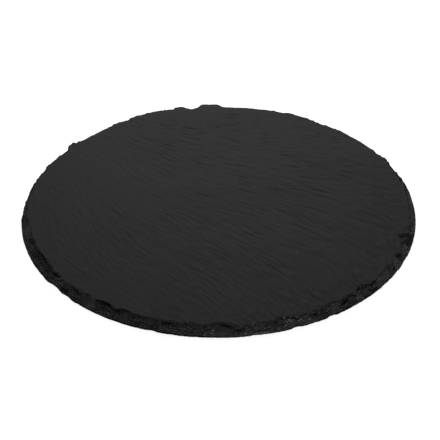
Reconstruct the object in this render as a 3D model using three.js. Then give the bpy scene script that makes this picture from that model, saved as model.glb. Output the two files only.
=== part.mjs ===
// Round slate cake platter: a riven slate disc with a knapped edge, standing on four stuck-on rubber pads.
// Millimetres, +Z up. The origin is on the table, under the middle of the disc.
import * as THREE from 'three';

// Slate disc
const DISC_DIAMETER = 300;
const DISC_THICKNESS = 7;
const BLUNT_EDGE = 1; // height of the plain band left along the underside
const EDGE_BEVEL = 2.5; // how far the top edge steps back where no flake came off
const RIM_SEGMENTS = 360;
const RIM_STEPS = 6;

// Large flakes struck off the rim. Bearings are in degrees, 0 along +X and 90 along +Y, halfWidth runs along
// the rim, bite is how far the scar eats into the top face, and drop is how deep below that face it starts.
const LARGE_FLAKES = [
  { bearing: 18.5, halfWidth: 12, bite: 4.6, drop: 5.5 },
  { bearing: 40, halfWidth: 40, bite: 5.6, drop: 6 },
  { bearing: 53.5, halfWidth: 9, bite: 6.8, drop: 4.5 },
  { bearing: 61, halfWidth: 10, bite: 5.2, drop: 5 },
  { bearing: 78.8, halfWidth: 31, bite: 6.3, drop: 5.5 },
  { bearing: 99.2, halfWidth: 9, bite: 6.8, drop: 6 },
  { bearing: 135.5, halfWidth: 22, bite: 6.4, drop: 5.5 },
  { bearing: 149.4, halfWidth: 11, bite: 6.6, drop: 6 },
  { bearing: 155.5, halfWidth: 9, bite: 5.2, drop: 5 },
  { bearing: 162, halfWidth: 7, bite: 5.2, drop: 4 },
  { bearing: 194, halfWidth: 18, bite: 6.6, drop: 5 },
  { bearing: 208, halfWidth: 11, bite: 7.4, drop: 6 },
  { bearing: 217.5, halfWidth: 8, bite: 6.2, drop: 3 },
  { bearing: 232, halfWidth: 9, bite: 6.4, drop: 6 },
  { bearing: 238.8, halfWidth: 9, bite: 5, drop: 2.6 },
  { bearing: 256.5, halfWidth: 8, bite: 5.4, drop: 3.4 },
  { bearing: 271.8, halfWidth: 5, bite: 6.4, drop: 4 },
  { bearing: 288, halfWidth: 9, bite: 5.9, drop: 3.6 },
  { bearing: 314.5, halfWidth: 9, bite: 6, drop: 3.4 },
  { bearing: 331, halfWidth: 7, bite: 5.9, drop: 4 },
  { bearing: 338, halfWidth: 7, bite: 6.5, drop: 4.5 },
  { bearing: 341.8, halfWidth: 5, bite: 11, drop: 1.3 },
];

// Points of the rim that stand proud between the flakes.
const KEPT_POINTS = [
  { bearing: 24, halfWidth: 1.5 },
  { bearing: 92.8, halfWidth: 7.5 },
  { bearing: 103.6, halfWidth: 2 },
  { bearing: 144.5, halfWidth: 1.5 },
];

// Small flakes all along the rim, scattered between these sizes.
const FLAKE_SPACING = 7.5;
const FLAKE_HALF_WIDTH = { least: 4, most: 9 };
const FLAKE_BITE = { least: 3.4, most: 5.4 };
const FLAKE_DROP = { least: 2.8, most: 6 };

// Feet
const FOOT_EDGE_DISTANCE = 45; // from the rim to the middle of a foot
const PAD_DIAMETER = 16;
const PAD_HEIGHT = 2.5;
const PAD_ROUND = 0.8;
const ADHESIVE_THICKNESS = 0.5;
const ADHESIVE_MARGIN = 0.5; // bare border of the pad around its adhesive
const FOOT_SEGMENTS = 32;
const ROUND_STEPS = 4;

const discRadius = DISC_DIAMETER / 2;
const padRadius = PAD_DIAMETER / 2;
const undersideHeight = PAD_HEIGHT + ADHESIVE_THICKNESS;

const SLATE_FINISH = { color: 0x2f2f30, roughness: 0.75, metalness: 0 };
const RUBBER_FINISH = { color: 0x171717, roughness: 0.9, metalness: 0 };
const TAPE_FINISH = { color: 0xd2cfc4, roughness: 0.6, metalness: 0 };

// A named piece with a material of its own.
function piece(name, geometry, finish) {
  const mesh = new THREE.Mesh(geometry, new THREE.MeshStandardMaterial(finish));
  mesh.name = name;
  return mesh;
}

// Length along the rim between two bearings.
function rimLength(fromBearing, toBearing) {
  const turn = THREE.MathUtils.euclideanModulo(fromBearing - toBearing + 180, 360) - 180;
  return THREE.MathUtils.degToRad(Math.abs(turn)) * discRadius;
}

// The fractional part of a multiple of an irrational number scatters a size without repeating itself.
function scattered({ least, most }, index, step) {
  return least + (most - least) * ((index * step) % 1);
}

// Small flakes follow each other round the rim. One that would take off a kept point stops short of it.
function smallFlakes() {
  const count = Math.round(Math.PI * DISC_DIAMETER / FLAKE_SPACING);
  const flakes = [];
  for (let index = 0; index < count; index++) {
    const bearing = 360 * index / count;
    const room = KEPT_POINTS.map((point) => rimLength(bearing, point.bearing) - point.halfWidth);
    const halfWidth = Math.min(scattered(FLAKE_HALF_WIDTH, index, Math.SQRT2), ...room);
    if (halfWidth > 0) {
      const bite = scattered(FLAKE_BITE, index, Math.E);
      const drop = scattered(FLAKE_DROP, index, Math.PI);
      flakes.push({ bearing, halfWidth, bite, drop });
    }
  }
  return flakes;
}

// A scar is a scoop: deepest at its middle and fading to its two ends, a steep wall under the top face that
// curves out into a ledge at the bottom.
function scarDepth({ bearing, halfWidth, bite, drop }, rimBearing, height) {
  const floor = Math.max(DISC_THICKNESS - drop, BLUNT_EDGE);
  const across = rimLength(bearing, rimBearing) / halfWidth;
  const up = (height - floor) / (DISC_THICKNESS - floor);
  if (across >= 1 || up <= 0) {
    return 0;
  }
  return bite * (1 - across ** 4) * Math.sqrt(up);
}

// How far the rim lies inside the full circle: the plain bevel, or the deepest scar that passes there.
function cutBack(flakes, rimBearing, height) {
  const bevel = EDGE_BEVEL * Math.max(height - BLUNT_EDGE, 0) / (DISC_THICKNESS - BLUNT_EDGE);
  return Math.max(bevel, ...flakes.map((flake) => scarDepth(flake, rimBearing, height)));
}

// The disc is turned as a plain cylinder with rows of points up its rim, and each point is then drawn inwards.
function slateDisc() {
  const profile = [new THREE.Vector2(0, 0), new THREE.Vector2(discRadius, 0)];
  for (let step = 0; step <= RIM_STEPS; step++) {
    const height = THREE.MathUtils.lerp(BLUNT_EDGE, DISC_THICKNESS, step / RIM_STEPS);
    profile.push(new THREE.Vector2(discRadius, height));
  }
  profile.push(new THREE.Vector2(0, DISC_THICKNESS));
  const geometry = new THREE.LatheGeometry(profile, RIM_SEGMENTS).rotateX(Math.PI / 2);

  const flakes = [...LARGE_FLAKES, ...smallFlakes()];
  const points = geometry.getAttribute('position');
  for (let index = 0; index < points.count; index++) {
    const x = points.getX(index);
    const y = points.getY(index);
    const bearing = THREE.MathUtils.radToDeg(Math.atan2(y, x));
    const share = 1 - cutBack(flakes, bearing, points.getZ(index)) / discRadius;
    points.setXY(index, x * share, y * share);
  }
  geometry.computeVertexNormals();

  const disc = piece('slate_disc', geometry, SLATE_FINISH);
  disc.position.z = undersideHeight;
  return disc;
}

// A round pad with a rounded lower edge.
function footPad(name) {
  const round = Math.min(PAD_ROUND, PAD_HEIGHT, padRadius);
  const profile = [new THREE.Vector2(0, 0)];
  for (let step = 0; step <= ROUND_STEPS; step++) {
    const turn = step / ROUND_STEPS * Math.PI / 2;
    const reach = padRadius - round + round * Math.sin(turn);
    const height = round - round * Math.cos(turn);
    profile.push(new THREE.Vector2(reach, height));
  }
  profile.push(new THREE.Vector2(padRadius, PAD_HEIGHT), new THREE.Vector2(0, PAD_HEIGHT));
  const geometry = new THREE.LatheGeometry(profile, FOOT_SEGMENTS).rotateX(Math.PI / 2);
  return piece(name, geometry, RUBBER_FINISH);
}

// The disc of double-sided tape on top of a pad.
function footAdhesive(name) {
  const radius = padRadius - ADHESIVE_MARGIN;
  const geometry = new THREE.CylinderGeometry(radius, radius, ADHESIVE_THICKNESS, FOOT_SEGMENTS);
  const adhesive = piece(name, geometry.rotateX(Math.PI / 2), TAPE_FINISH);
  adhesive.position.z = PAD_HEIGHT + ADHESIVE_THICKNESS / 2;
  return adhesive;
}

const platter = new THREE.Group();
platter.add(slateDisc());

const footSpread = (discRadius - FOOT_EDGE_DISTANCE) * Math.SQRT1_2;
for (const [end, lengthways] of [['front', -1], ['back', 1]]) {
  for (const [side, sideways] of [['left', -1], ['right', 1]]) {
    const foot = new THREE.Group();
    foot.add(footPad(`foot_pad_${end}_${side}`), footAdhesive(`foot_adhesive_${end}_${side}`));
    foot.position.set(sideways * footSpread, lengthways * footSpread, 0);
    platter.add(foot);
  }
}

export default platter;
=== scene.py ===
"""Round slate cake platter: a split slate disc with a knapped edge, on four stuck-on rubber pads.

Metres, +Z up. The origin is on the table, under the middle of the disc.
"""

import bpy
import numpy as np
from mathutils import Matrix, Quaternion, Vector


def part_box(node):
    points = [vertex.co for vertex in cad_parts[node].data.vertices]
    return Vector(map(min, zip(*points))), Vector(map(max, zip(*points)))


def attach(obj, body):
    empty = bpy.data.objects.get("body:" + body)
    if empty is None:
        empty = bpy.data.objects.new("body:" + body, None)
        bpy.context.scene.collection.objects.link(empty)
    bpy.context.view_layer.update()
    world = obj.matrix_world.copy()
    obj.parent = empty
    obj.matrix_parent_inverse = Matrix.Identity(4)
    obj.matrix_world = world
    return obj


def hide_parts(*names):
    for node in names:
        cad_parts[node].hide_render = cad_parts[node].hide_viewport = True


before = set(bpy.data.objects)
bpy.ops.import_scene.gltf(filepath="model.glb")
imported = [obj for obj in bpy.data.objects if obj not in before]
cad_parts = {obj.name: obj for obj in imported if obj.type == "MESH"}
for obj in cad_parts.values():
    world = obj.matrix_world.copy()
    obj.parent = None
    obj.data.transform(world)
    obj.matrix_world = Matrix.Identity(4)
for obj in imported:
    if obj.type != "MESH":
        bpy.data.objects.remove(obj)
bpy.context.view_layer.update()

MM = 0.001

# Slate disc, as the frame gives it
SLATE_LOW, SLATE_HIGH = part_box("slate_disc")
DISC_RADIUS = (SLATE_HIGH.x - SLATE_LOW.x) / 2
UNDERSIDE = SLATE_LOW.z
THICKNESS = SLATE_HIGH.z - SLATE_LOW.z

# Knapped edge: plain band along the underside, and how far the top edge steps back where no flake came off
BLUNT_EDGE = 1 * MM
EDGE_BEVEL = 2.5 * MM

# Lists and ranges of marks along the rim: bearings in degrees, 0 along +X and 90 along +Y, lengths in mm.
# Large flakes: bearing, half width along the rim, bite into the top face, drop below it, the share of the
# drop that is an upright wall over the scar's ramp, and the power that makes the ends gradual at 2 and
# abrupt above
LARGE_FLAKES = [
    (18.5, 10, 4.6, 5.5, 0.3, 4),
    (29.3, 10, 4.7, 5.5, 0.3, 4),
    (40, 40, 5.1, 6, 0.35, 4),
    (49.5, 8, 5.9, 5.5, 0.35, 4),
    (53.5, 9, 6.8, 5, 0.4, 4),
    (57.5, 5, 5.1, 5, 0.3, 4),
    (61, 10, 5.2, 5.5, 0.3, 4),
    (68.8, 8, 5.3, 5.5, 0.3, 4),
    (79, 29, 5.7, 6, 0.3, 6),
    (85, 13, 6, 5.5, 0.3, 6),
    (98.8, 8, 6.9, 6, 0.3, 3),
    (107, 3, 3.8, 4.5, 0.3, 4),
    (124.5, 12, 3.8, 5.5, 0.3, 4),
    (129, 6, 5.6, 5, 0.3, 4),
    (135.3, 20, 6, 5.5, 0.25, 10),
    (149.4, 9.6, 6.6, 6, 0.4, 3),
    (153, 3.5, 4.7, 5, 0.3, 4),
    (155.5, 9, 5.2, 5.5, 0.3, 4),
    (162, 7, 5.2, 5, 0.4, 4),
    (170, 15, 3.9, 5.5, 0.3, 4),
    (193, 26, 6.4, 5.5, 0.1, 2.5),
    (205, 50, 5.2, 6, 0.35, 2.5),
    (201, 17, 6.6, 6, 0.35, 2.5),
    (208, 18, 7.4, 6, 0.45, 2.5),
    (213, 12, 6.9, 6, 0.4, 2.5),
    (218.5, 13, 6.6, 5, 0.45, 2.5),
    (228, 40, 5.2, 6, 0.35, 2.5),
    (226, 12, 5.8, 5.5, 0.3, 2.5),
    (232, 10, 7.8, 6, 0, 2.5),
    (237, 15, 6.4, 6, 0.5, 2.5),
    (243.5, 12, 7, 6, 0.4, 2.5),
    (254, 70, 5.5, 6, 0.4, 2.5),
    (257.5, 11, 5.8, 5.5, 0.4, 2.5),
    (262.5, 11, 6.5, 6, 0.35, 2.5),
    (270, 12, 7.6, 6, 0.25, 2.5),
    (281.5, 12, 5, 6, 0.3, 2.5),
    (287.5, 12, 7.2, 5.5, 0.45, 2.5),
    (300, 44, 4.8, 6, 0.35, 2.5),
    (301.5, 12, 5.8, 6, 0.3, 2.5),
    (307.5, 10, 5.6, 6, 0.4, 2.5),
    (313.5, 10, 7.8, 6, 0.4, 2.5),
    (323, 13, 5, 6, 0.25, 2.5),
    (331, 10, 6.2, 6, 0.35, 2.5),
    (338, 11, 6.5, 6, 0.25, 2.5),
    (355, 27, 5, 4.6, 0, 5),
]
# Small flakes all along the rim, scattered between a least and a most
FLAKE_SPACING = 7.5 * MM
FLAKE_HALF_WIDTH = (4, 9)
FLAKE_BITE = (3, 4.8)
FLAKE_DROP = (4, 6)
FLAKE_WALL = (0.2, 0.5)
FLAKE_POWER = 4
# Points that stand proud, which the small flakes leave alone: bearing, half width
KEPT_POINTS = [(9.5, 2), (24, 1.5), (92.8, 7.5), (103.6, 2), (110.5, 4), (115.5, 6), (144.7, 3)]
# Scars that broke clean, which they leave alone too: bearing, half width. The open one runs up into the
# face with no dark edge.
OPEN_SCAR = (232.6, 6.5)
CLEAN_SCARS = [(191, 10), OPEN_SCAR, (243.5, 4), (271, 5), (323, 5)]
# Where the layers broke back one behind the other in plain steps: bearing, half width
LAYERED_SCARS = [(355, 28)]
SCAR_POWER = 4
# Tongues that the bevel missed: bearing, half width, share of the bevel left
TONGUES = [(92.9, 8.2, 0.5), (103.5, 3.5, 0.65), (144.7, 3.6, 0.6)]
TONGUE_POWER = 10
# Hollows where a layer broke out from under another: bearing, half width, depth, height over the underside
UNDERCUTS = [
    (206.5, 8, 1.2, 5),
    (216.5, 6, 1.5, 5),
    (222.5, 5, 1, 2.2),
    (226.5, 5, 0.8, 5),
    (236.5, 7.5, 2.8, 6),
    (238, 7.5, 2.6, 5.2),
    (240.4, 4, 2, 4.7),
    (243, 4, 1, 5.4),
    (256, 5, 1.3, 4.6),
    (272, 6, 1, 5),
    (275, 4, 0.8, 3.5),
    (281, 8, 0.8, 2.2),
    (290, 5, 1.2, 5),
    (296, 3.5, 1.4, 4),
    (306.3, 4.5, 1.8, 3.6),
    (311, 6, 1, 5),
    (317, 5, 1.2, 5),
    (317, 5, 1, 2),
    (327.5, 3, 1.4, 3.4),
    (334, 5, 0.5, 4.6),
    (352, 16, 0.6, 3.6),
    (356, 14, 0.6, 2),
]
UNDERCUT_HEIGHT = 0.9 * MM
# Nicks in the lower edge: bearing, half width, bite, height
LOWER_NICKS = [
    (160.2, 4.5, 0.9, 5),
    (164.7, 6, 1.9, 5),
    (170, 6, 0.7, 5),
    (173.4, 7, 1.4, 5),
    (180.2, 12, 0.9, 5),
    (219.5, 9, 1.3, 2.5),
    (224.5, 6, 0.9, 2.5),
    (252, 4, 0.8, 2.5),
    (279, 3, 0.6, 2.5),
    (290.5, 4, 1.3, 2.5),
    (301, 4, 1, 2.5),
]
# Shallow shells gone from the edge of the top face: bearing, half width, reach in from the full circle,
# depth, lean of the inner end along the rim, and the power that makes the outline pointed at 1, oval at 2 and
# square above. A depth below 0 is a scrap of the layer above that stayed on.
SPALLS = [
    (92.9, 8.2, 9.2, -0.5, 0, 8),
    (340.4, 10, 11.4, 1.7, 2.4, 1.2),
]
# Small shells scattered round the rim, and the share of a shell's outline over which its edge is soft
SPALL_SPACING = 11 * MM
SPALL_SHIFT = (0, 0.8)
SPALL_HALF_WIDTH = (2.5, 8)
SPALL_REACH = (5.5, 8)
SPALL_DEPTH = (0.08, 0.32)
SPALL_LEAN = (-2, 2)
SPALL_POWER = 2
SPALL_SOFTNESS = 0.3

# A broken line along the rim: how far a knot lies past its even place at most, as a share of the spacing
KNOT_SHIFT = 0.7
# Cleavage layers that show along the rim: their number, how they differ in height, and how their edges wave
RIM_SEED = 41
LAYERS = 10
LAYER_SPREAD = (0.6, 1.4)
LAYER_WAVE, WAVE_SPACING = 0.14 * MM, 16 * MM
ARRIS = 0.12 * MM
# How much of a layer stands as a plain step, and how that changes along the rim
STEP_SHARE, STEP_CHANGE, STEP_SPACING = 0.55, 0.6, 9 * MM
# How raggedly the layers broke, the two lowest less so: a part that all share, each layer's own with a
# finer part, how much of this the clean and the layered scars lack, and the grit on all
LAYER_RAGGED, LOWER_RAGGED, RAGGED_LAYERS = 0.32 * MM, 0.25 * MM, 2
SHARED_BREAK, SHARED_SPACING = 0.5, 5 * MM
OWN_BREAK, OWN_SPACING = 0.8, 4 * MM
FINE_BREAK, FINE_SPACING = 0.7, 1.6 * MM
CLEAN_BREAK = 0.85
GRIT = 0.06 * MM

# Tones of the rim: 0 is the plain break, above it lighter, and below it darker.
# Places that are lighter or darker than the rest: bearing, half width, tone
TONED_SCARS = [
    (186, 20, -0.15),
    (208, 44, -0.22),
    # Painted highlight
    (219.5, 6, 0.3),
    (233, 5.5, 0.2),
    (238, 45, -0.1),
    (266, 9, 0.1),
    (279.5, 14, 0.2),
    (289, 3.5, 0.2),
    (292, 18, 0.2),
    (302.5, 7, 0.2),
    (310.5, 6, 0.15),
    (330.5, 5, 0.2),
    (322, 24, 0.2),
    (337, 20, 0.12),
    (342, 9, -0.25),
    (355, 34, -0.05),
]
# Painted light on the lower part of the rim only, listed the same way, and the heights between which it fades
LOWER_LIT_SCARS = [(278, 34, 0.3), (295, 14, 0.15)]
LOWER_LIT_HEIGHT = (1.5 * MM, 3.5 * MM)
# Painted highlight on the tops of the layers and painted shade at their feet
LAYER_LIGHT_AND_SHADE = 0.25
# Painted shade in a band along the lower edge: the heights between which it fades, and how it changes along
# the rim
LOWER_SHADE_HEIGHTS = (0.36 * MM, 1.56 * MM)
SHADE_BAND_SHARE, SHADE_BAND_CHANGE, SHADE_BAND_SPACING = 0.6, 0.4, 3 * MM
# The depth of hollow that makes a painted shade of 1, and the depth that lets the painted shade go as far
# past 1
HOLLOW_SHADE_DEPTH, HOLLOW_SHADE_PAST = 1.3 * MM, 2 * MM
# How strongly the top edge's painted highlight and painted shade show along the rim, stronger along the back
# than along the front
PAINTED_EDGE_SEED = 43
PAINTED_EDGE_SHARE, PAINTED_EDGE_CHANGE, PAINTED_EDGE_SPACING, PAINTED_EDGE_RANGE = 0.85, 0.4, 6 * MM, (0.4, 1.2)
PAINTED_EDGE_MEAN, PAINTED_EDGE_BACK = 0.7, 0.3
# Shade in the deep shells: the depths between which it comes in
SPALL_SHADE, SPALL_SHADE_DEPTH = 0.22, (0.5 * MM, 1.5 * MM)

# The split faces ripple along a fan of rays from the point where the stone was split. The rays turn
# clockwise, once early at a fixed distance, and then more and more towards the far side.
SPLIT_POINT = (-275 * MM, 135 * MM)
SPLIT_DISTANCE = float(np.hypot(*SPLIT_POINT))
FAN_AXIS = float(np.arctan2(-SPLIT_POINT[1], -SPLIT_POINT[0]))
EARLY_CURL, EARLY_DISTANCE = 0.25, 206 * MM
FAR_CURL = 0.005
CURL_POWER = 8.0
# How far the rays are bent sideways from place to place, in a wide bend and a finer one
FAN_BEND, BEND_SIZE = 4.2 * MM, 20 * MM
FINE_BEND, FINE_BEND_SIZE = 0.3, 7 * MM
# Side of the square of random heights, and how far apart its parts for the finer and finer rays lie
LATTICE = 512
RAY_SHIFT = 37

# What a split face is made of: height, size across the rays, length along them
SWELL_HEIGHT, SWELL_SIZE = 0.12 * MM, 70 * MM
RIDGE_HEIGHT, RIDGE_WIDTH, RIDGE_LENGTH = 0.12 * MM, 5 * MM, 18 * MM
RIPPLE_HEIGHT, RIPPLE_WIDTH, RIPPLE_LENGTH = 0.27 * MM, 1.5 * MM, 4.6 * MM
THREAD_HEIGHT, THREAD_WIDTH, THREAD_LENGTH = 0.05 * MM, 1.05 * MM, 4 * MM
# How flat-topped the ripples and the threads are, and how far a ripple's crest leans to the back
RIPPLE_FLATNESS, THREAD_FLATNESS = 1.5, 3
RIPPLE_LEAN = 1.1 * MM
# The ridges fade to the left, down to a least share, and the ripples widen to the right
RIDGE_FADE, RIDGE_LEAST = 200 * MM, 0.45
RIPPLE_WIDENING = 600 * MM
# The ripples are bolder to the right and in a spot at the back left, and calmer at the very front and back
BOLDNESS, BOLD_RISE, BOLD_RANGE = 1.12, 135 * MM, (0.4, 1.45)
CALM_PLACES, CALM = (-120 * MM, -60 * MM, 90 * MM, 114 * MM), (0.22, 0, 0, 0.4)
BOLD_SPOT, BOLD_SPOT_SIZE, BOLD_SPOT_GAIN = (-46 * MM, 105 * MM), (36 * MM, 55 * MM), 0.75
# They are gathered in patches
PATCH_SHARE, PATCH_CHANGE, PATCH_SIZE, PATCH_RANGE = 0.85, 0.6, 14 * MM, (0.4, 1.3)
# The underside has ripples of its own, so low that the tape under it stays whole
TOP_SEED, UNDER_SEED = 9, 71
UNDER_SHARE = 0.4

# How finely the slate is divided: columns round the rim, rays and stops of the split cores, and the degrees
# from point to point where a core's circle is read
RIM_COLUMNS = 1440
CORE_RADIUS = 132 * MM
TOP_LINES, TOP_STOPS = 520, 64
UNDER_LINES, UNDER_STOPS = 220, 40
CIRCLE_STEP = 0.02
# Rows of the rings between core and rim, as shares of the way out, and the tones of the top ones, which paint
# a highlight just inside the top edge and shade on the edge itself
CORE_GAP = 1.5 * MM
TOP_RING = (0, 0.15, 0.3, 0.43, 0.54, 0.64, 0.73, 0.81, 0.88, 0.94, 0.98, 1)
TOP_RING_TONE = (0, 0, 0, 0, 0, 0, 0, 0.15, 0.2, -0.5, -0.75, -0.75)
UNDER_RING = (0.96, 0.6, 0.3, 0)

# Feet
FOOT_PLACES = ["front_left", "front_right", "back_left", "back_right"]
FOOT_SEGMENTS = 96
ARC_STEPS = 6
PAD_LOWER_ROUND, PAD_UPPER_ROUND = 0.8 * MM, 0.3 * MM
PAD_RIDGE = 0.08 * MM
DISH_SHARE, DISH_DEPTH = 0.55, 0.18 * MM
# The dish from its middle out, as shares of its radius and its depth
DISH_PROFILE = ((0, 1), (0.6, 1), (0.9, 0.6), (1, 0))
# The tape is drawn in at half its height, sinks into the stone, and was cut round by hand: the wobble of its
# radius, its waves to the turn, and what sets each disc's waves apart
TAPE_WAIST = 0.1 * MM
TAPE_SINK = 0.05 * MM
TAPE_WOBBLE, WOBBLE_WAVES, WOBBLE_PHASES = 0.012, (3, 7), (90, 70)

# Patterns in the stone: width and length of the streaks and threads along the fan, how far they drift, how
# far apart their octaves lie in the noise, and how the broken edge's patterns are squeezed upright
STREAK_SIZE, THREAD_SIZE = (3 * MM, 16 * MM), (1.2 * MM, 7 * MM)
STREAK_DRIFT = (6 * MM, 6 * MM, 0)
PATTERN_SHIFT = 7.7
LAYER_SQUEEZE = (1, 1, 2.2)
# Cells to the metre of the other patterns: split face and grain, broken edge, rubber, tape, floor
DRIFT_CELLS, CLOUD_CELLS, GRAIN_CELLS = 70, 18, 2600
HACKLE_CELLS, SPECKLE_CELLS, PATCH_CELLS, GLINT_CELLS = 750, 1100, 180, 800
PEBBLE_CELLS, DUST_CELLS = 2200, 420
FIBRE_CELLS, SOIL_CELLS = 1500, 260
FLOOR_CELLS = 6

# Greys of the materials, the darker first, and how warm they are
SPLIT_GREYS = (0.0195, 0.0245)
# GLINT_GREY is the colour of the painted glints: bright specks that stand in for light caught by small facets
BREAK_GREYS, GLINT_GREY = (0.008, 0.08), 0.34
RUBBER_GREY, DUST_GREY, DUST_WARMTH = 0.012, 0.035, 0.03
TAPE_GREYS, TAPE_WARMTH = (0.50, 0.68), 0.05
SOIL_GREY, SOIL_WARMTH = 0.34, 0.07
FLOOR_GREYS = (0.30, 0.32)

# Studio: the lamp stands behind the platter, and floor and room are brighter where they are looked at
LAMP_PLACE = (10 * MM, 670 * MM, 440 * MM)
LAMP_WIDTH, LAMP_HEIGHT = 480 * MM, 200 * MM
LAMP_POWER = 6.3
ROOM_LIGHT, ROOM_SHOWN = 0.44, 0.56
FLOOR_HALF = 3.0
FLOOR_SHOWN = 0.92

# Camera, found from the two edges of the rim. Lens and sensor are in millimetres.
CAMERA_DISTANCE = 950 * MM
CAMERA_ELEVATION = np.radians(34.93)
CAMERA_AIM = (1.03 * MM, -13.9 * MM)
CAMERA_ROLL = np.radians(-0.357)
CAMERA_LENS = 101.25
SENSOR = 36


def lattice_noise(across, along, seed):
    """Smooth noise from -1 to 1: random heights on a unit lattice, eased from each point to the next."""
    heights = np.random.default_rng(seed).uniform(-1, 1, (LATTICE, LATTICE))
    column, row = np.floor(across).astype(int), np.floor(along).astype(int)
    u, v = across - column, along - row
    u, v = u * u * (3 - 2 * u), v * v * (3 - 2 * v)
    column, row = column % LATTICE, row % LATTICE
    next_column, next_row = (column + 1) % LATTICE, (row + 1) % LATTICE
    near = heights[column, row] * (1 - u) + heights[next_column, row] * u
    far = heights[column, next_row] * (1 - u) + heights[next_column, next_row] * u
    return near * (1 - v) + far * v


def fan_curl(distance):
    """How far a ray has turned clockwise at a distance from the split point.

    The early turn is an angle times share / (1 + share), where share is a power of the distance over the
    early distance. The far turn is an angle times the same power of the distance over the disc's middle's.
    """
    early = (distance / EARLY_DISTANCE) ** CURL_POWER
    return EARLY_CURL * early / (1 + early) + FAR_CURL * (distance / SPLIT_DISTANCE) ** CURL_POWER


def fan_place(x, y):
    """The ray that passes a place, as its bearing before it turned, and the distance from the split point."""
    dx, dy = x - SPLIT_POINT[0], y - SPLIT_POINT[1]
    distance = np.hypot(dx, dy)
    return np.arctan2(dy, dx) - FAN_AXIS + fan_curl(distance), distance


def fan_noise(x, y, width, length, seed):
    """Noise drawn out along the curled rays from the split point.

    The ray and the distance along it are the two lattice directions, with the rays bent sideways a little
    from place to place. Each time the distance grows by the square root of 2, the noise blends into a lattice
    whose rays are as many times closer, so the ridges keep about the same width all over the face.
    """
    ray, distance = fan_place(x, y)
    bend = lattice_noise(x / BEND_SIZE, y / BEND_SIZE, seed)
    bend += FINE_BEND * lattice_noise(x / FINE_BEND_SIZE, y / FINE_BEND_SIZE, seed)
    ray = ray + FAN_BEND * bend / distance
    octave = 2 * np.log2(distance / width)
    step = np.floor(octave)
    blend = octave - step

    def rays(which):
        """The noise at one step of the distance."""
        return lattice_noise(ray * 2 ** (which / 2) + RAY_SHIFT * which, distance / length, seed)

    return rays(step) * (1 - blend) + rays(step + 1) * blend


def ripple_boldness(x, y):
    """How bold the ripples are: rising evenly to the right, less the calm, plus exp(-r^2) about the spot."""
    rising = np.clip(BOLDNESS + x / BOLD_RISE - np.interp(y, CALM_PLACES, CALM), *BOLD_RANGE)
    across, along = (x - BOLD_SPOT[0]) / BOLD_SPOT_SIZE[0], (y - BOLD_SPOT[1]) / BOLD_SPOT_SIZE[1]
    return rising + BOLD_SPOT_GAIN * np.exp(-across ** 2 - along ** 2)


def split_face(x, y, seed, share=1):
    """Height of a split face over its mean plane: swell, long low ridges, short ripples and fine threads.

    A ripple is the hyperbolic tangent of fan noise, read at a place that its own height shifts, so that its
    crest leans to the back. Ripples and threads are gathered in patches, and share scales them.
    """
    swell = SWELL_HEIGHT * lattice_noise(x / SWELL_SIZE, y / SWELL_SIZE, seed)
    fade = np.clip(1 + x / RIDGE_FADE, RIDGE_LEAST, 1)
    ridges = RIDGE_HEIGHT * fade * fan_noise(x, y, RIDGE_WIDTH, RIDGE_LENGTH, seed + 1)
    patches = PATCH_SHARE + PATCH_CHANGE * lattice_noise(x / PATCH_SIZE, y / PATCH_SIZE, seed + 2)
    patches = ripple_boldness(x, y) * np.clip(patches, *PATCH_RANGE)
    width = RIPPLE_WIDTH * (1 + np.clip(x / RIPPLE_WIDENING, 0, 1))
    lean = RIPPLE_LEAN * fan_noise(x, y, width, RIPPLE_LENGTH, seed + 3)
    wave = fan_noise(x, y - lean, width, RIPPLE_LENGTH, seed + 3)
    ripples = RIPPLE_HEIGHT * np.tanh(RIPPLE_FLATNESS * wave)
    thread = fan_noise(x, y, THREAD_WIDTH, THREAD_LENGTH, seed + 4)
    threads = THREAD_HEIGHT * np.tanh(THREAD_FLATNESS * thread)
    return swell + ridges + share * patches * (ripples + threads)


def ragged(bearing, spacing, draw):
    """A closed broken line round the rim, from -1 to 1: random heights at uneven knots, joined straight."""
    knots = int(2 * np.pi * DISC_RADIUS / spacing)
    places = (np.arange(knots) + draw.uniform(0, KNOT_SHIFT, knots)) * 360 / knots
    return np.interp(bearing, places, draw.uniform(-1, 1, knots), period=360)


def scattered(index, least_most, step):
    """Sizes between a least and a most, scattered by the fractional parts of multiples of an irrational."""
    least, most = least_most
    return least + (most - least) * (index * step % 1)


def along_rim(bearing, other):
    """Length along the rim from one bearing to another, positive anticlockwise."""
    return np.radians((bearing - other + 180) % 360 - 180) * DISC_RADIUS


def bump_window(bearing, middle, half_width, power=2):
    """1 at the middle of a mark along the rim, falling to 0 at its ends: 1 - across^power."""
    return 1 - np.minimum(np.abs(along_rim(bearing, middle)) / (half_width * MM), 1) ** power


def scar_window(bearing, scars):
    """1 in the middle of a listed scar and 0 outside them all: the largest of their windows."""
    return np.max([bump_window(bearing, *scar, SCAR_POWER) for scar in scars], axis=0)


def scar_tone(bearing, scars):
    """The sum of the listed scars' tones, each times its window."""
    return sum(tone * bump_window(bearing, middle, half_width) for middle, half_width, tone in scars)


def all_flakes():
    """Every flake as rows of bearing, half width, bite, drop, wall share and power.

    The small ones follow each other round the rim with scattered sizes, and stop short of the points and the
    clean scars that they leave alone.
    """
    count = round(2 * np.pi * DISC_RADIUS / FLAKE_SPACING)
    index = np.arange(count)
    bearing = 360 * index / count
    kept = np.array(KEPT_POINTS + CLEAN_SCARS)
    room = np.min(np.abs(along_rim(bearing[:, None], kept[:, 0])) / MM - kept[:, 1], axis=1)
    half_width = np.minimum(scattered(index, FLAKE_HALF_WIDTH, np.sqrt(2)), room)
    bite = scattered(index, FLAKE_BITE, np.e)
    drop = scattered(index, FLAKE_DROP, np.pi)
    wall = scattered(index, FLAKE_WALL, np.sqrt(5))
    small = np.stack([bearing, half_width, bite, drop, wall, np.full(count, FLAKE_POWER)], axis=1)
    return np.concatenate([LARGE_FLAKES, small[half_width > 0]])


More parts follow.
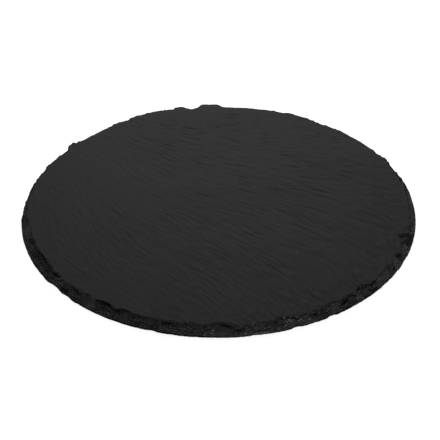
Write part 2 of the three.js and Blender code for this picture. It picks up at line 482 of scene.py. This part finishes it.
def cut_back(flakes, bearing, height):
    """How far the rim lies inside the full circle: the plain bevel, or the deepest scar that passes there.

    A scar is bite * (1 - across^power) * up: deepest at its middle and fading to its two ends, where up rises
    along a ramp from 0 at the scar's foot to 1 at the foot of its wall. bearing and height have one shape.
    """
    bevel = EDGE_BEVEL * np.ones_like(bearing)
    for middle, half_width, share in TONGUES:
        bevel *= 1 - (1 - share) * bump_window(bearing, middle, half_width, TONGUE_POWER)
    cut = bevel * np.clip((height - BLUNT_EDGE) / (THICKNESS - BLUNT_EDGE), 0, 1)
    for middle, half_width, bite, drop, wall, power in flakes:
        ramp_foot = max(THICKNESS - drop * MM, BLUNT_EDGE)
        up = np.clip((height - ramp_foot) / ((THICKNESS - ramp_foot) * (1 - wall)), 0, 1)
        cut = np.maximum(cut, bite * MM * bump_window(bearing, middle, half_width, power) * up)
    return cut


def undercut(bearing, height):
    """Hollows in the rim, depth * (1 - across^2), fading evenly above and below where the layer broke out."""
    cut = np.zeros_like(bearing)
    for middle, half_width, depth, level in UNDERCUTS:
        near = np.clip(1 - np.abs(height - level * MM) / UNDERCUT_HEIGHT, 0, 1)
        cut = np.maximum(cut, depth * MM * bump_window(bearing, middle, half_width) * near)
    return cut


def lower_nicks(bearing, height):
    """Small bites out of the lower edge, bite * (1 - across^2), fading evenly to nothing at their height."""
    cut = np.zeros_like(bearing)
    for middle, half_width, bite, rise in LOWER_NICKS:
        fade = np.clip(1 - height / (rise * MM), 0, 1)
        cut = np.maximum(cut, bite * MM * bump_window(bearing, middle, half_width) * fade)
    return cut


def spall_depth(bearing, radius):
    """How far the spalls lie under the split face.

    A spall's outline is 1 = across^power + inwards^power, leaning along the rim as it goes inwards, and its
    floor is level but for a soft step at the outline. The small ones are scattered round the rim.
    """
    index = np.arange(round(2 * np.pi * DISC_RADIUS / SPALL_SPACING))
    small = np.stack([
        360 * (index + scattered(index, SPALL_SHIFT, np.pi)) / len(index),
        scattered(index, SPALL_HALF_WIDTH, np.sqrt(2)),
        scattered(index, SPALL_REACH, np.e),
        scattered(index, SPALL_DEPTH, np.sqrt(7)),
        scattered(index, SPALL_LEAN, np.sqrt(3)),
        np.full(len(index), SPALL_POWER),
    ], axis=1)
    inwards = (DISC_RADIUS - radius) / MM
    depth = np.zeros_like(radius)
    for middle, half_width, reach, fall, lean, power in np.concatenate([SPALLS, small]):
        across = np.abs(along_rim(bearing, middle) / MM - lean * inwards / reach) / half_width
        inside = 1 - across ** power - (np.abs(inwards) / reach) ** power
        edge = np.clip(inside / SPALL_SOFTNESS, 0, 1)
        step = fall * MM * edge * edge * (3 - 2 * edge)
        depth = np.maximum(depth, step) + np.minimum(step, 0)
    return depth


def rim_rows(bearing):
    """Radius, height over the underside and tone of the rim's rows from the top edge down, row by column.

    The rim is a stack of cleavage layers. Each layer has a row at its top and a row at its foot: where it
    broke off clean the two follow the scar, and where it stepped they share the cut at the layer's middle.
    The tone is the listed lighter and darker places and the painted light low on some scars, plus the layers'
    painted highlight at their tops and painted shade at their feet, less the painted shade. The painted shade
    grows with the depth of a hollow and towards the lower edge, and passes 1 only in hollows.
    """
    draw = np.random.default_rng(RIM_SEED)
    flakes = all_flakes()
    levels = np.concatenate([[0], np.cumsum(draw.uniform(*LAYER_SPREAD, LAYERS))])
    levels *= (THICKNESS - ARRIS) / levels[-1]
    waves = [LAYER_WAVE * ragged(bearing, WAVE_SPACING, draw) for _ in levels]
    waves[0], waves[-1] = 0 * bearing, 0 * bearing
    clean, layered = scar_window(bearing, CLEAN_SCARS), scar_window(bearing, LAYERED_SCARS)
    toned, lower_painted_light = scar_tone(bearing, TONED_SCARS), scar_tone(bearing, LOWER_LIT_SCARS)
    shared = ragged(bearing, SHARED_SPACING, draw)
    radii, heights, tones = [], [], []
    for layer in reversed(range(LAYERS)):
        foot, top = levels[layer] + waves[layer], levels[layer + 1] + waves[layer + 1]
        middle = cut_back(flakes, bearing, (foot + top) / 2)
        stepped = np.clip(STEP_SHARE + STEP_CHANGE * ragged(bearing, STEP_SPACING, draw), 0, 1)
        stepped = np.maximum(stepped * (1 - clean), layered)
        rough = LOWER_RAGGED + (LAYER_RAGGED - LOWER_RAGGED) * min(layer / RAGGED_LAYERS, 1)
        own = ragged(bearing, OWN_SPACING, draw) + FINE_BREAK * ragged(bearing, FINE_SPACING, draw)
        broken = rough * (SHARED_BREAK * shared + OWN_BREAK * own)
        broken *= 1 - CLEAN_BREAK * np.maximum(clean, layered)
        hollow = undercut(bearing, (foot + top) / 2)
        for height, side in ((top, 1), (foot, -1)):
            cut = cut_back(flakes, bearing, height) * (1 - stepped) + middle * stepped
            grit = GRIT * draw.uniform(-1, 1, len(bearing))
            radii.append(DISC_RADIUS - cut - broken - hollow - lower_nicks(bearing, height) + grit)
            heights.append(height)
            # The listed lighter and darker places, plus painted light on the lower part of some scars
            fresh = toned + lower_painted_light * np.interp(height, LOWER_LIT_HEIGHT, (1, 0))
            # Painted highlight at each layer's top and painted shade at its foot, stronger in the layered
            # scars
            lines = LAYER_LIGHT_AND_SHADE * side * stepped * (1 + layered)
            # Painted shade towards the lower edge, taken away where the lower part has painted light
            band = SHADE_BAND_SHARE + SHADE_BAND_CHANGE * ragged(bearing, SHADE_BAND_SPACING, draw)
            band *= np.interp(height, LOWER_SHADE_HEIGHTS, (1, 0)) * (1 - np.minimum(2 * lower_painted_light, 1))
            # The tone less the painted shade of the hollows and of the band along the lower edge
            tones.append(fresh + lines - np.minimum(hollow / HOLLOW_SHADE_DEPTH + band, 1 + hollow / HOLLOW_SHADE_PAST))
    return np.array(radii), np.array(heights), np.array(tones)


def top_ring_tone(bearing, spalled):
    """Tone of the top ring: its rows' painted highlight and shade times their strength, less the shade in
    deep spalls.

    The open scar has none of the edge's painted highlight and shade.
    """
    painted_edge = ragged(bearing, PAINTED_EDGE_SPACING, np.random.default_rng(PAINTED_EDGE_SEED))
    painted_edge = np.clip(PAINTED_EDGE_SHARE + PAINTED_EDGE_CHANGE * painted_edge, *PAINTED_EDGE_RANGE)
    painted_edge *= PAINTED_EDGE_MEAN + PAINTED_EDGE_BACK * np.sign(np.sin(np.radians(bearing)))
    painted_edge *= 1 - bump_window(bearing, *OPEN_SCAR, SCAR_POWER)
    shade = np.interp(spalled, SPALL_SHADE_DEPTH, (0, SPALL_SHADE))
    return np.array(TOP_RING_TONE)[:, None] * painted_edge - shade


def slate_band(bearing):
    """The ring round the top face, the rim and the ring under it: points and tones, row by column.

    A ring's rows lie at shares of the way from core to rim, at the height of the split face less the spalls.
    The rim's rows lie at shares of the way from the underside to the top edge. Also gives the number of rows
    in the top ring, and in the top ring and the rim together.
    """
    radii, heights, tones = rim_rows(bearing)
    ring_start = CORE_RADIUS + CORE_GAP
    top_radii = ring_start + (radii[0] - ARRIS - ring_start) * np.array(TOP_RING)[:, None]
    under_radii = ring_start + (radii[-1] - ring_start) * np.array(UNDER_RING)[:, None]
    radius = np.concatenate([top_radii, radii, under_radii])
    angle = np.radians(bearing)
    x, y = radius * np.cos(angle), radius * np.sin(angle)
    tops, unders = len(top_radii), len(top_radii) + len(radii)
    spalled = spall_depth(np.broadcast_to(bearing, top_radii.shape), top_radii)
    top_z = THICKNESS + split_face(x[:tops], y[:tops], TOP_SEED) - spalled
    under_z = split_face(x[unders - 1:], y[unders - 1:], UNDER_SEED, UNDER_SHARE)
    rim_z = under_z[0] + (top_z[-1] - under_z[0]) * heights / THICKNESS
    z = UNDERSIDE + np.concatenate([top_z, rim_z, under_z[1:]])
    tone = np.concatenate([top_ring_tone(bearing, spalled), tones, np.zeros_like(under_radii)])
    return np.stack([x, y, z], axis=-1), tone, tops, unders


def fan_grid(radius, lines, stops):
    """A round face on the curled rays of the fan.

    The rays are evenly spread, and each has its points evenly between the two places where it crosses the
    circle. These are read off a fine ring of points on the circle, whose rays come in order up its far side
    and down its near side. The two end rays only touch the circle, so each is one point. Returns the points,
    the quads, the triangles at the two ends, the rim's point numbers in order of bearing, and their bearings.
    """
    angle = np.radians(np.arange(0, 360, CIRCLE_STEP))
    turn, distance = fan_place(radius * np.cos(angle), radius * np.sin(angle))
    round_trip = (np.arange(len(angle) + 1) + np.argmin(turn)) % len(angle)
    turn, distance = turn[round_trip], distance[round_trip]
    turning = np.argmax(turn)
    ray = np.linspace(turn[0], turn[turning], lines + 2)
    far = np.interp(ray, turn[:turning + 1], distance[:turning + 1])
    near = np.interp(ray, turn[turning:][::-1], distance[turning:][::-1])
    along = near[:, None] + (far - near)[:, None] * np.linspace(0, 1, stops)
    heading = FAN_AXIS + ray[:, None] - fan_curl(along)
    x = SPLIT_POINT[0] + along * np.cos(heading)
    y = SPLIT_POINT[1] + along * np.sin(heading)
    ends = np.array([[x[0, 0], y[0, 0]], [x[-1, 0], y[-1, 0]]])
    points = np.concatenate([np.stack([x[1:-1].ravel(), y[1:-1].ravel()], axis=1), ends])
    number = np.arange(lines * stops).reshape(lines, stops)
    first, last = lines * stops, lines * stops + 1
    corners = [number[:-1, :-1], number[:-1, 1:], number[1:, 1:], number[1:, :-1]]
    quads = np.stack(corners, axis=-1).reshape(-1, 4)
    start = np.stack([np.full(stops - 1, first), number[0, 1:], number[0, :-1]], axis=1)
    finish = np.stack([number[-1, :-1], number[-1, 1:], np.full(stops - 1, last)], axis=1)
    ring = np.concatenate([[first], number[:, -1], [last], number[::-1, 0]])
    bearing = np.degrees(np.arctan2(points[ring, 1], points[ring, 0])) % 360
    order = np.argsort(bearing)
    return points, quads, np.concatenate([start, finish]), ring[order], bearing[order]


def zip_rings(inner, inner_bearing, outer, outer_bearing):
    """Triangles between two rings of points round one middle, given as point numbers in order of bearing.

    Going round, each side of one ring takes the point of the other ring that lies nearest in order: a point
    owns the stretch between the middles of its two sides.
    """
    def middles(bearing):
        """Bearings of the middles of a ring's sides."""
        return (bearing + np.append(bearing[1:], bearing[0] + 360)) / 2

    def owner(middle, other_middle):
        """Which point of the other ring owns the middle of each side."""
        last = other_middle[-1]
        wrapped = np.where(middle <= last - 360, middle + 360, middle)
        wrapped = np.where(wrapped > last, wrapped - 360, wrapped)
        return np.searchsorted(other_middle, wrapped) % len(other_middle)

    inner_middle, outer_middle = middles(inner_bearing), middles(outer_bearing)
    across = outer[owner(inner_middle, outer_middle)]
    back = inner[owner(outer_middle, inner_middle)]
    return np.concatenate([
        np.stack([inner, across, np.roll(inner, -1)], axis=1),
        np.stack([outer, np.roll(outer, -1), back], axis=1),
    ])


def add_piece(name, points, faces, smooth, node, materials):
    """A mesh from its points and its groups of faces, riding on the frame in place of its node."""
    mesh = bpy.data.meshes.new(name)
    mesh.from_pydata(points.tolist(), [], [face for group in faces for face in group.tolist()])
    mesh.polygons.foreach_set("use_smooth", smooth)
    for material in materials:
        mesh.materials.append(material)
    piece = bpy.data.objects.new(name, mesh)
    bpy.context.scene.collection.objects.link(piece)
    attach(piece, "root")
    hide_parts(node)
    return piece


def slate_disc(split, broken):
    """The slate as one closed skin: the band of rings and rim, zipped to a split core above and one below.

    Each core is a fan grid at the height of its split face. The rim's faces are flat and of broken slate.
    """
    bearing = 360 * np.arange(RIM_COLUMNS) / RIM_COLUMNS
    band, tone, tops, unders = slate_band(bearing)
    top, top_quads, top_ends, top_ring, top_bearing = fan_grid(CORE_RADIUS, TOP_LINES, TOP_STOPS)
    low, low_quads, low_ends, low_ring, low_bearing = fan_grid(CORE_RADIUS, UNDER_LINES, UNDER_STOPS)
    top_z = UNDERSIDE + THICKNESS + split_face(top[:, 0], top[:, 1], TOP_SEED)
    low_z = UNDERSIDE + split_face(low[:, 0], low[:, 1], UNDER_SEED, UNDER_SHARE)
    cores = [np.column_stack([top, top_z]), np.column_stack([low, low_z])]
    points = np.concatenate([band.reshape(-1, 3), *cores])

    number = np.arange(tone.size).reshape(tone.shape)
    ahead = np.roll(number, -1, axis=1)
    band_quads = np.stack([number[:-1], number[1:], ahead[1:], ahead[:-1]], axis=-1).reshape(-1, 4)
    to_top, to_low = tone.size, tone.size + len(top)
    top_zip = zip_rings(top_ring + to_top, top_bearing, number[0], bearing)
    low_zip = zip_rings(low_ring + to_low, low_bearing, number[-1], bearing)
    faces = [band_quads, top_quads + to_top, low_quads[:, ::-1] + to_low]
    faces += [top_ends + to_top, low_ends[:, ::-1] + to_low, top_zip, low_zip[:, ::-1]]

    on_rim = np.zeros(sum(map(len, faces)), bool)
    on_rim[(tops - 1) * RIM_COLUMNS:(unders - 1) * RIM_COLUMNS] = True
    materials = [split, broken]
    piece = add_piece("slate_disc_split", points, faces, ~on_rim, "slate_disc", materials)
    piece.data.polygons.foreach_set("material_index", on_rim.astype(np.int32))
    clean = np.broadcast_to(scar_window(bearing, CLEAN_SCARS), tone.shape)
    for attribute, rows in (("tone", tone), ("clean", clean)):
        values = np.zeros(len(points))
        values[:tone.size] = rows.ravel()
        piece.data.attributes.new(attribute, "FLOAT", "POINT").data.foreach_set("value", values)


def turned(profile, centre, wobble=0):
    """A profile of radius and height carried round an upright axis, closed at both ends on the axis.

    wobble moves the radius a little from bearing to bearing by two sine waves, as on an edge cut by hand.
    """
    radius, height = np.array(profile)[1:-1].T
    angle = 2 * np.pi * np.arange(FOOT_SEGMENTS) / FOOT_SEGMENTS
    waves = [np.sin(count * angle + place * phase)
             for count, place, phase in zip(WOBBLE_WAVES, centre, WOBBLE_PHASES)]
    swing = 1 + wobble * sum(waves) / len(waves)
    x = centre[0] + radius[:, None] * swing * np.cos(angle)
    y = centre[1] + radius[:, None] * swing * np.sin(angle)
    z = np.broadcast_to(height[:, None], x.shape)
    ends = [(*centre, profile[0][1]), (*centre, profile[-1][1])]
    points = np.concatenate([np.stack([x.ravel(), y.ravel(), z.ravel()], axis=1), ends])
    number = np.arange(x.size).reshape(x.shape)
    ahead = np.roll(number, -1, axis=1)
    quads = np.stack([number[:-1], ahead[:-1], ahead[1:], number[1:]], axis=-1).reshape(-1, 4)
    low, high = np.full(FOOT_SEGMENTS, x.size), np.full(FOOT_SEGMENTS, x.size + 1)
    start = np.stack([low, ahead[0], number[0]], axis=1)
    finish = np.stack([high, number[-1], ahead[-1]], axis=1)
    return points, [quads, start, finish]


def rounded(middle, radius, first, last):
    """Points of a rounded corner: an arc about a middle, from one turn to another in degrees."""
    turn = np.radians(np.linspace(first, last, ARC_STEPS + 1))
    return [(middle[0] + radius * np.cos(t), middle[1] + radius * np.sin(t)) for t in turn]


def round_node(node):
    """Middle, radius, foot and top of an upright round node, from its box."""
    low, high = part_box(node)
    return ((low.x + high.x) / 2, (low.y + high.y) / 2), (high.x - low.x) / 2, low.z, high.z


def foot_pad(place, rubber):
    """A moulded pad, turned, with a shallow dish below, rounded edges and a parting ridge half way up."""
    node = "foot_pad_" + place
    centre, radius, _, top = round_node(node)
    dish, wall, middle = DISH_SHARE * radius, radius - PAD_RIDGE, top / 2
    profile = [(out * dish, deep * DISH_DEPTH) for out, deep in DISH_PROFILE]
    profile += rounded((wall - PAD_LOWER_ROUND, PAD_LOWER_ROUND), PAD_LOWER_ROUND, -90, 0)
    profile += [(wall, middle - 2 * PAD_RIDGE), (radius, middle - PAD_RIDGE)]
    profile += [(radius, middle + PAD_RIDGE), (wall, middle + 2 * PAD_RIDGE)]
    profile += rounded((wall - PAD_UPPER_ROUND, top - PAD_UPPER_ROUND), PAD_UPPER_ROUND, 0, 90)
    profile += [(0, top)]
    points, faces = turned(profile, centre)
    smooth = np.ones(sum(map(len, faces)), bool)
    add_piece("foot_pad_moulded_" + place, points, faces, smooth, node, [rubber])


def foot_tape(place, tape):
    """The tape disc between pad and stone, turned, its top raised to the split face and a little more."""
    node = "foot_adhesive_" + place
    centre, radius, low, high = round_node(node)
    middle = (low + high) / 2
    profile = [(0, low), (radius, low), (radius - TAPE_WAIST, middle), (radius, high), (0, high)]
    points, faces = turned(profile, centre, TAPE_WOBBLE)
    on_top = points[:, 2] > middle + TAPE_SINK
    stone = split_face(points[on_top, 0], points[on_top, 1], UNDER_SEED, UNDER_SHARE)
    points[on_top, 2] = UNDERSIDE + stone + TAPE_SINK
    smooth = np.zeros(sum(map(len, faces)), bool)
    add_piece("foot_tape_" + place, points, faces, smooth, node, [tape])


class Wire:
    """An output socket in a node tree. Sums, products and powers of wires and numbers add Math nodes."""

    def __init__(self, tree, socket=None):
        self.tree = tree
        self.socket = socket

    def node(self, kind, settings=(), inputs=(), output=0):
        """Adds a node: its settings first, then each input linked to a wire or set to a plain value."""
        made = self.tree.nodes.new("ShaderNode" + kind)
        for name, value in dict(settings).items():
            setattr(made, name, value)
        for name, value in dict(inputs).items():
            if isinstance(value, Wire):
                self.tree.links.new(value.socket, made.inputs[name])
            else:
                made.inputs[name].default_value = value
        return Wire(self.tree, made.outputs[output])

    def out(self, name):
        """Another output of the same node."""
        return Wire(self.tree, self.socket.node.outputs[name])

    def math(self, operation, *values):
        """A Math node on wires and numbers."""
        return self.node("Math", {"operation": operation}, dict(enumerate(values)))

    def vector(self, operation, *values):
        """A Vector Math node on this wire and on other wires and vectors."""
        return self.node("VectorMath", {"operation": operation}, dict(enumerate((self, *values))))

    def __add__(self, other):
        return self.math("ADD", self, other)

    __radd__ = __add__

    def __sub__(self, other):
        return self.math("SUBTRACT", self, other)

    def __rsub__(self, other):
        return self.math("SUBTRACT", other, self)

    def __mul__(self, other):
        return self.math("MULTIPLY", self, other)

    __rmul__ = __mul__

    def __truediv__(self, other):
        return self.math("DIVIDE", self, other)

    def __rtruediv__(self, other):
        return self.math("DIVIDE", other, self)

    def __pow__(self, other):
        return self.math("POWER", self, other)

    def __rpow__(self, other):
        return self.math("POWER", other, self)

    def ramp(self, low, high):
        """0 below low, 1 above high, eased between them."""
        sockets = {"Value": self, "From Min": low, "From Max": high}
        return self.node("MapRange", {"interpolation_type": "SMOOTHSTEP"}, sockets)

    def mixed(self, low, high):
        """Colour low where this wire is 0 and colour high where it is 1."""
        return self.node("Mix", {"data_type": "RGBA"}, {0: self, 6: low, 7: high}, output=2)

    def scaled(self, factor):
        """This colour times a number."""
        return self.node("VectorMath", {"operation": "SCALE"}, {0: self, "Scale": factor})

    def noise(self, scale, detail=2.0, roughness=0.5, output=0):
        """Noise at the place that this wire gives, with so many cells to the unit of length."""
        sockets = {"Vector": self, "Scale": scale, "Detail": detail, "Roughness": roughness}
        return self.node("TexNoise", {}, sockets, output)

    def attribute(self, name):
        """A number that the mesh holds for each point."""
        return self.node("Attribute", {"attribute_name": name}, output="Fac")


def new_material(name):
    """An empty material, its Principled shader and a wire of the place in Object coordinates."""
    material = bpy.data.materials.new(name)
    material.use_nodes = True
    place = Wire(material.node_tree).node("TexCoord", output="Object")
    return material, material.node_tree.nodes["Principled BSDF"], place


def link(wire, shader, socket):
    """Feeds a shader's socket from a wire."""
    wire.tree.links.new(wire.socket, shader.inputs[socket])


def emboss(shader, height):
    """Tilts a shader's normal by the slope of a height in metres."""
    link(height.node("Bump", {}, {"Strength": 1.0, "Distance": 1.0, "Height": height}), shader, "Normal")


def grey(level, warmth=0.0):
    """A grey colour, with more red and less blue where it is warm."""
    return (level * (1 + warmth), level, level * (1 - warmth), 1)


def fan_texture(place, size, detail):
    """Noise drawn out along the curled rays from the split point, of a given width and length.

    As in fan_noise, the ray and the distance along it give the place in the noise. Each doubling of the
    distance blends into noise with twice as many rays.
    """
    width, length = size
    x = place.node("SeparateXYZ", inputs={0: place.vector("SUBTRACT", (*SPLIT_POINT, 0))})
    y = x.out("Y")
    distance = (x * x + y * y) ** 0.5
    octave = place.math("LOGARITHM", distance / width, 2.0)
    step = place.math("FLOOR", octave)
    blend = octave - step
    turn = place.math("ARCTAN2", y, x) + fan_curl(distance)

    def rays(which):
        """The noise at one octave of the distance."""
        sockets = {"X": turn * 2.0 ** which, "Y": distance / length, "Z": which * PATTERN_SHIFT}
        return place.node("CombineXYZ", inputs=sockets).noise(1.0, detail)

    return rays(step) * (1 - blend) + rays(step + 1) * blend


def split_slate():
    """Charcoal slate as it splits: cloudy and streaked along the fan, with a satin grain.

    The colour follows clouds, threads and grain, times 1 plus the tone of the edge, a painted highlight and
    painted shade. Streaks and grain move the roughness, and all but the clouds emboss the face.
    """
    material, shader, place = new_material("split_slate")
    drift = place.noise(DRIFT_CELLS, output="Color")
    bent = drift.vector("MULTIPLY_ADD", STREAK_DRIFT, place)
    streaks = fan_texture(bent, STREAK_SIZE, 1.0)
    threads = fan_texture(bent, THREAD_SIZE, 2.0)
    clouds = place.noise(CLOUD_CELLS, 4.0, 0.55)
    grain = place.noise(GRAIN_CELLS, 3.0, 0.6)
    blotches = 0.25 * clouds + 0.5 * threads + 0.2 * (grain - 0.5)
    stone = blotches.ramp(0.175, 0.575).mixed(*map(grey, SPLIT_GREYS))
    # The tone paints a highlight and shade along the top edge, and shade in the deep spalls
    link(stone.scaled(1 + place.attribute("tone")), shader, "Base Color")
    link(0.45 + 0.12 * (streaks - 0.5) + 0.12 * (grain - 0.5), shader, "Roughness")
    emboss(shader, (0.03 * streaks + 0.012 * threads + 0.006 * grain) * MM)
    shader.inputs["Specular IOR Level"].default_value = 0.004
    return material


def broken_slate():
    """Charcoal slate broken across the layers: dull and hackly, with small painted glints and painted shade
    in hollows.

    The shade follows hackle, speckle, patches and tone. Clean breaks lose the hackle, the speckle and the
    painted glints, and the deep hollows, where the tone is below -1, are painted nearly black as shade.
    """
    material, shader, place = new_material("broken_slate")
    layered = place.vector("MULTIPLY", LAYER_SQUEEZE)
    hackle = layered.noise(HACKLE_CELLS, 3.0, 0.6)
    speckle = place.noise(SPECKLE_CELLS, 2.0, 0.6)
    patches = layered.noise(PATCH_CELLS)
    grain = place.noise(GRAIN_CELLS, 3.0, 0.6)
    tone = place.attribute("tone")
    rough = 1 - place.attribute("clean")
    crumbs = rough * (0.4 * (hackle - 0.5) + 0.45 * (speckle - 0.5))
    shade = (0.5 + crumbs + 0.15 * (patches - 0.5) + 0.2 * tone).ramp(0.4, 0.66)
    # Painted glints: a few small cells take a bright colour, more of them where the tone is light
    glint_cells = place.node("TexVoronoi", {}, {"Vector": layered, "Scale": GLINT_CELLS}, output="Color")
    glint_pick = place.node("SeparateColor", inputs={0: glint_cells}) + 0.3 * place.math("MINIMUM", tone, 0.3)
    glint = rough * glint_pick.ramp(0.98, 1.03) * speckle.ramp(0.4, 0.6)
    stone = glint.mixed(shade.mixed(*map(grey, BREAK_GREYS)), grey(GLINT_GREY))
    # Painted shade: where the tone is below -1, in the deepest hollows, the colour goes nearly black
    deep = place.math("MINIMUM", tone + 1, 0.0)
    link(stone.scaled(1 + 0.95 * deep), shader, "Base Color")
    link(0.9 - 0.25 * shade, shader, "Roughness")
    emboss(shader, (0.35 * rough * hackle + 0.02 * grain) * MM)
    shader.inputs["Specular IOR Level"].default_value = 0.03
    return material


def rubber_material():
    """Matt black moulded rubber with a fine pebbled skin and a little dust that lightens and dulls it."""
    material, shader, place = new_material("matt_black_rubber")
    dust = place.noise(DUST_CELLS, 5.0, 0.65).ramp(0.52, 0.75)
    link(dust.mixed(grey(RUBBER_GREY), grey(DUST_GREY, DUST_WARMTH)), shader, "Base Color")
    link(0.78 + 0.15 * dust, shader, "Roughness")
    emboss(shader, place.noise(PEBBLE_CELLS, 3.0) * 0.03 * MM)
    shader.inputs["Specular IOR Level"].default_value = 0.3
    return material


def tape_material():
    """Off-white double-sided tape: light and dark fibres, soiled in patches."""
    material, shader, place = new_material("off_white_tape")
    fibre = place.noise(FIBRE_CELLS, 4.0, 0.6)
    soil = place.noise(SOIL_CELLS, 3.0).ramp(0.45, 0.8)
    fresh = fibre.mixed(*[grey(level, TAPE_WARMTH) for level in TAPE_GREYS])
    link(soil.mixed(fresh, grey(SOIL_GREY, SOIL_WARMTH)), shader, "Base Color")
    link(0.5 + 0.2 * fibre, shader, "Roughness")
    emboss(shader, fibre * 0.04 * MM)
    return material


def seen(wire):
    """1 for rays that show the background to the eye: from the camera, reflected or through a clear piece."""
    path = wire.node("LightPath", output="Is Camera Ray")
    reflected = wire.math("MAXIMUM", path.out("Is Glossy Ray"), path.out("Is Transmission Ray"))
    return wire.math("MAXIMUM", path, reflected)


def floor():
    """A wide pale floor that keeps a soft shadow: a diffuse square, brightened only where it is looked at."""
    half = FLOOR_HALF
    corners = [(-half, -half, 0), (half, -half, 0), (half, half, 0), (-half, half, 0)]
    mesh = bpy.data.meshes.new("studio_floor")
    mesh.from_pydata(corners, [], [(0, 1, 2, 3)])
    material, shader, place = new_material("white_floor")
    link(place.noise(FLOOR_CELLS).mixed(*map(grey, FLOOR_GREYS)), shader, "Base Color")
    shader.inputs["Roughness"].default_value = 1
    shader.inputs["Specular IOR Level"].default_value = 0
    link(seen(place).mixed(grey(0), grey(FLOOR_SHOWN)), shader, "Emission Color")
    shader.inputs["Emission Strength"].default_value = 1
    mesh.materials.append(material)
    sheet = bpy.data.objects.new("studio_floor", mesh)
    bpy.context.scene.collection.objects.link(sheet)


def studio_light():
    """An even white room and one soft lamp behind the platter, low enough to rake the ripples."""
    world = bpy.data.worlds.new("white_room")
    world.use_nodes = True
    background = world.node_tree.nodes["Background"]
    background.inputs["Color"].default_value = grey(1)
    link(ROOM_LIGHT + ROOM_SHOWN * seen(Wire(world.node_tree)), background, "Strength")
    bpy.context.scene.world = world

    lamp = bpy.data.lights.new("soft_lamp", "AREA")
    lamp.shape = "RECTANGLE"
    lamp.size, lamp.size_y = LAMP_WIDTH, LAMP_HEIGHT
    lamp.energy = LAMP_POWER
    stand = bpy.data.objects.new("soft_lamp", lamp)
    stand.location = LAMP_PLACE
    stand.rotation_mode = "QUATERNION"
    stand.rotation_quaternion = (-stand.location).to_track_quat("-Z", "Y")
    bpy.context.scene.collection.objects.link(stand)


def camera():
    """Looks along +Y and down at the slate, with the frame's slight roll."""
    lens = bpy.data.cameras.new("camera")
    lens.lens, lens.sensor_width = CAMERA_LENS, SENSOR
    stand = bpy.data.objects.new("camera", lens)
    reach, rise = CAMERA_DISTANCE * np.cos(CAMERA_ELEVATION), CAMERA_DISTANCE * np.sin(CAMERA_ELEVATION)
    stand.location = (0, -reach, UNDERSIDE + rise)
    look = Vector((*CAMERA_AIM, UNDERSIDE)) - stand.location
    stand.rotation_mode = "QUATERNION"
    stand.rotation_quaternion = look.to_track_quat("-Z", "Y") @ Quaternion((0, 0, 1), CAMERA_ROLL)
    bpy.context.scene.collection.objects.link(stand)
    bpy.context.scene.camera = stand


bpy.context.scene.view_settings.view_transform = "Standard"
camera()
studio_light()
floor()
slate_disc(split_slate(), broken_slate())
pad_rubber, adhesive_tape = rubber_material(), tape_material()
for foot_place in FOOT_PLACES:
    foot_pad(foot_place, pad_rubber)
    foot_tape(foot_place, adhesive_tape)
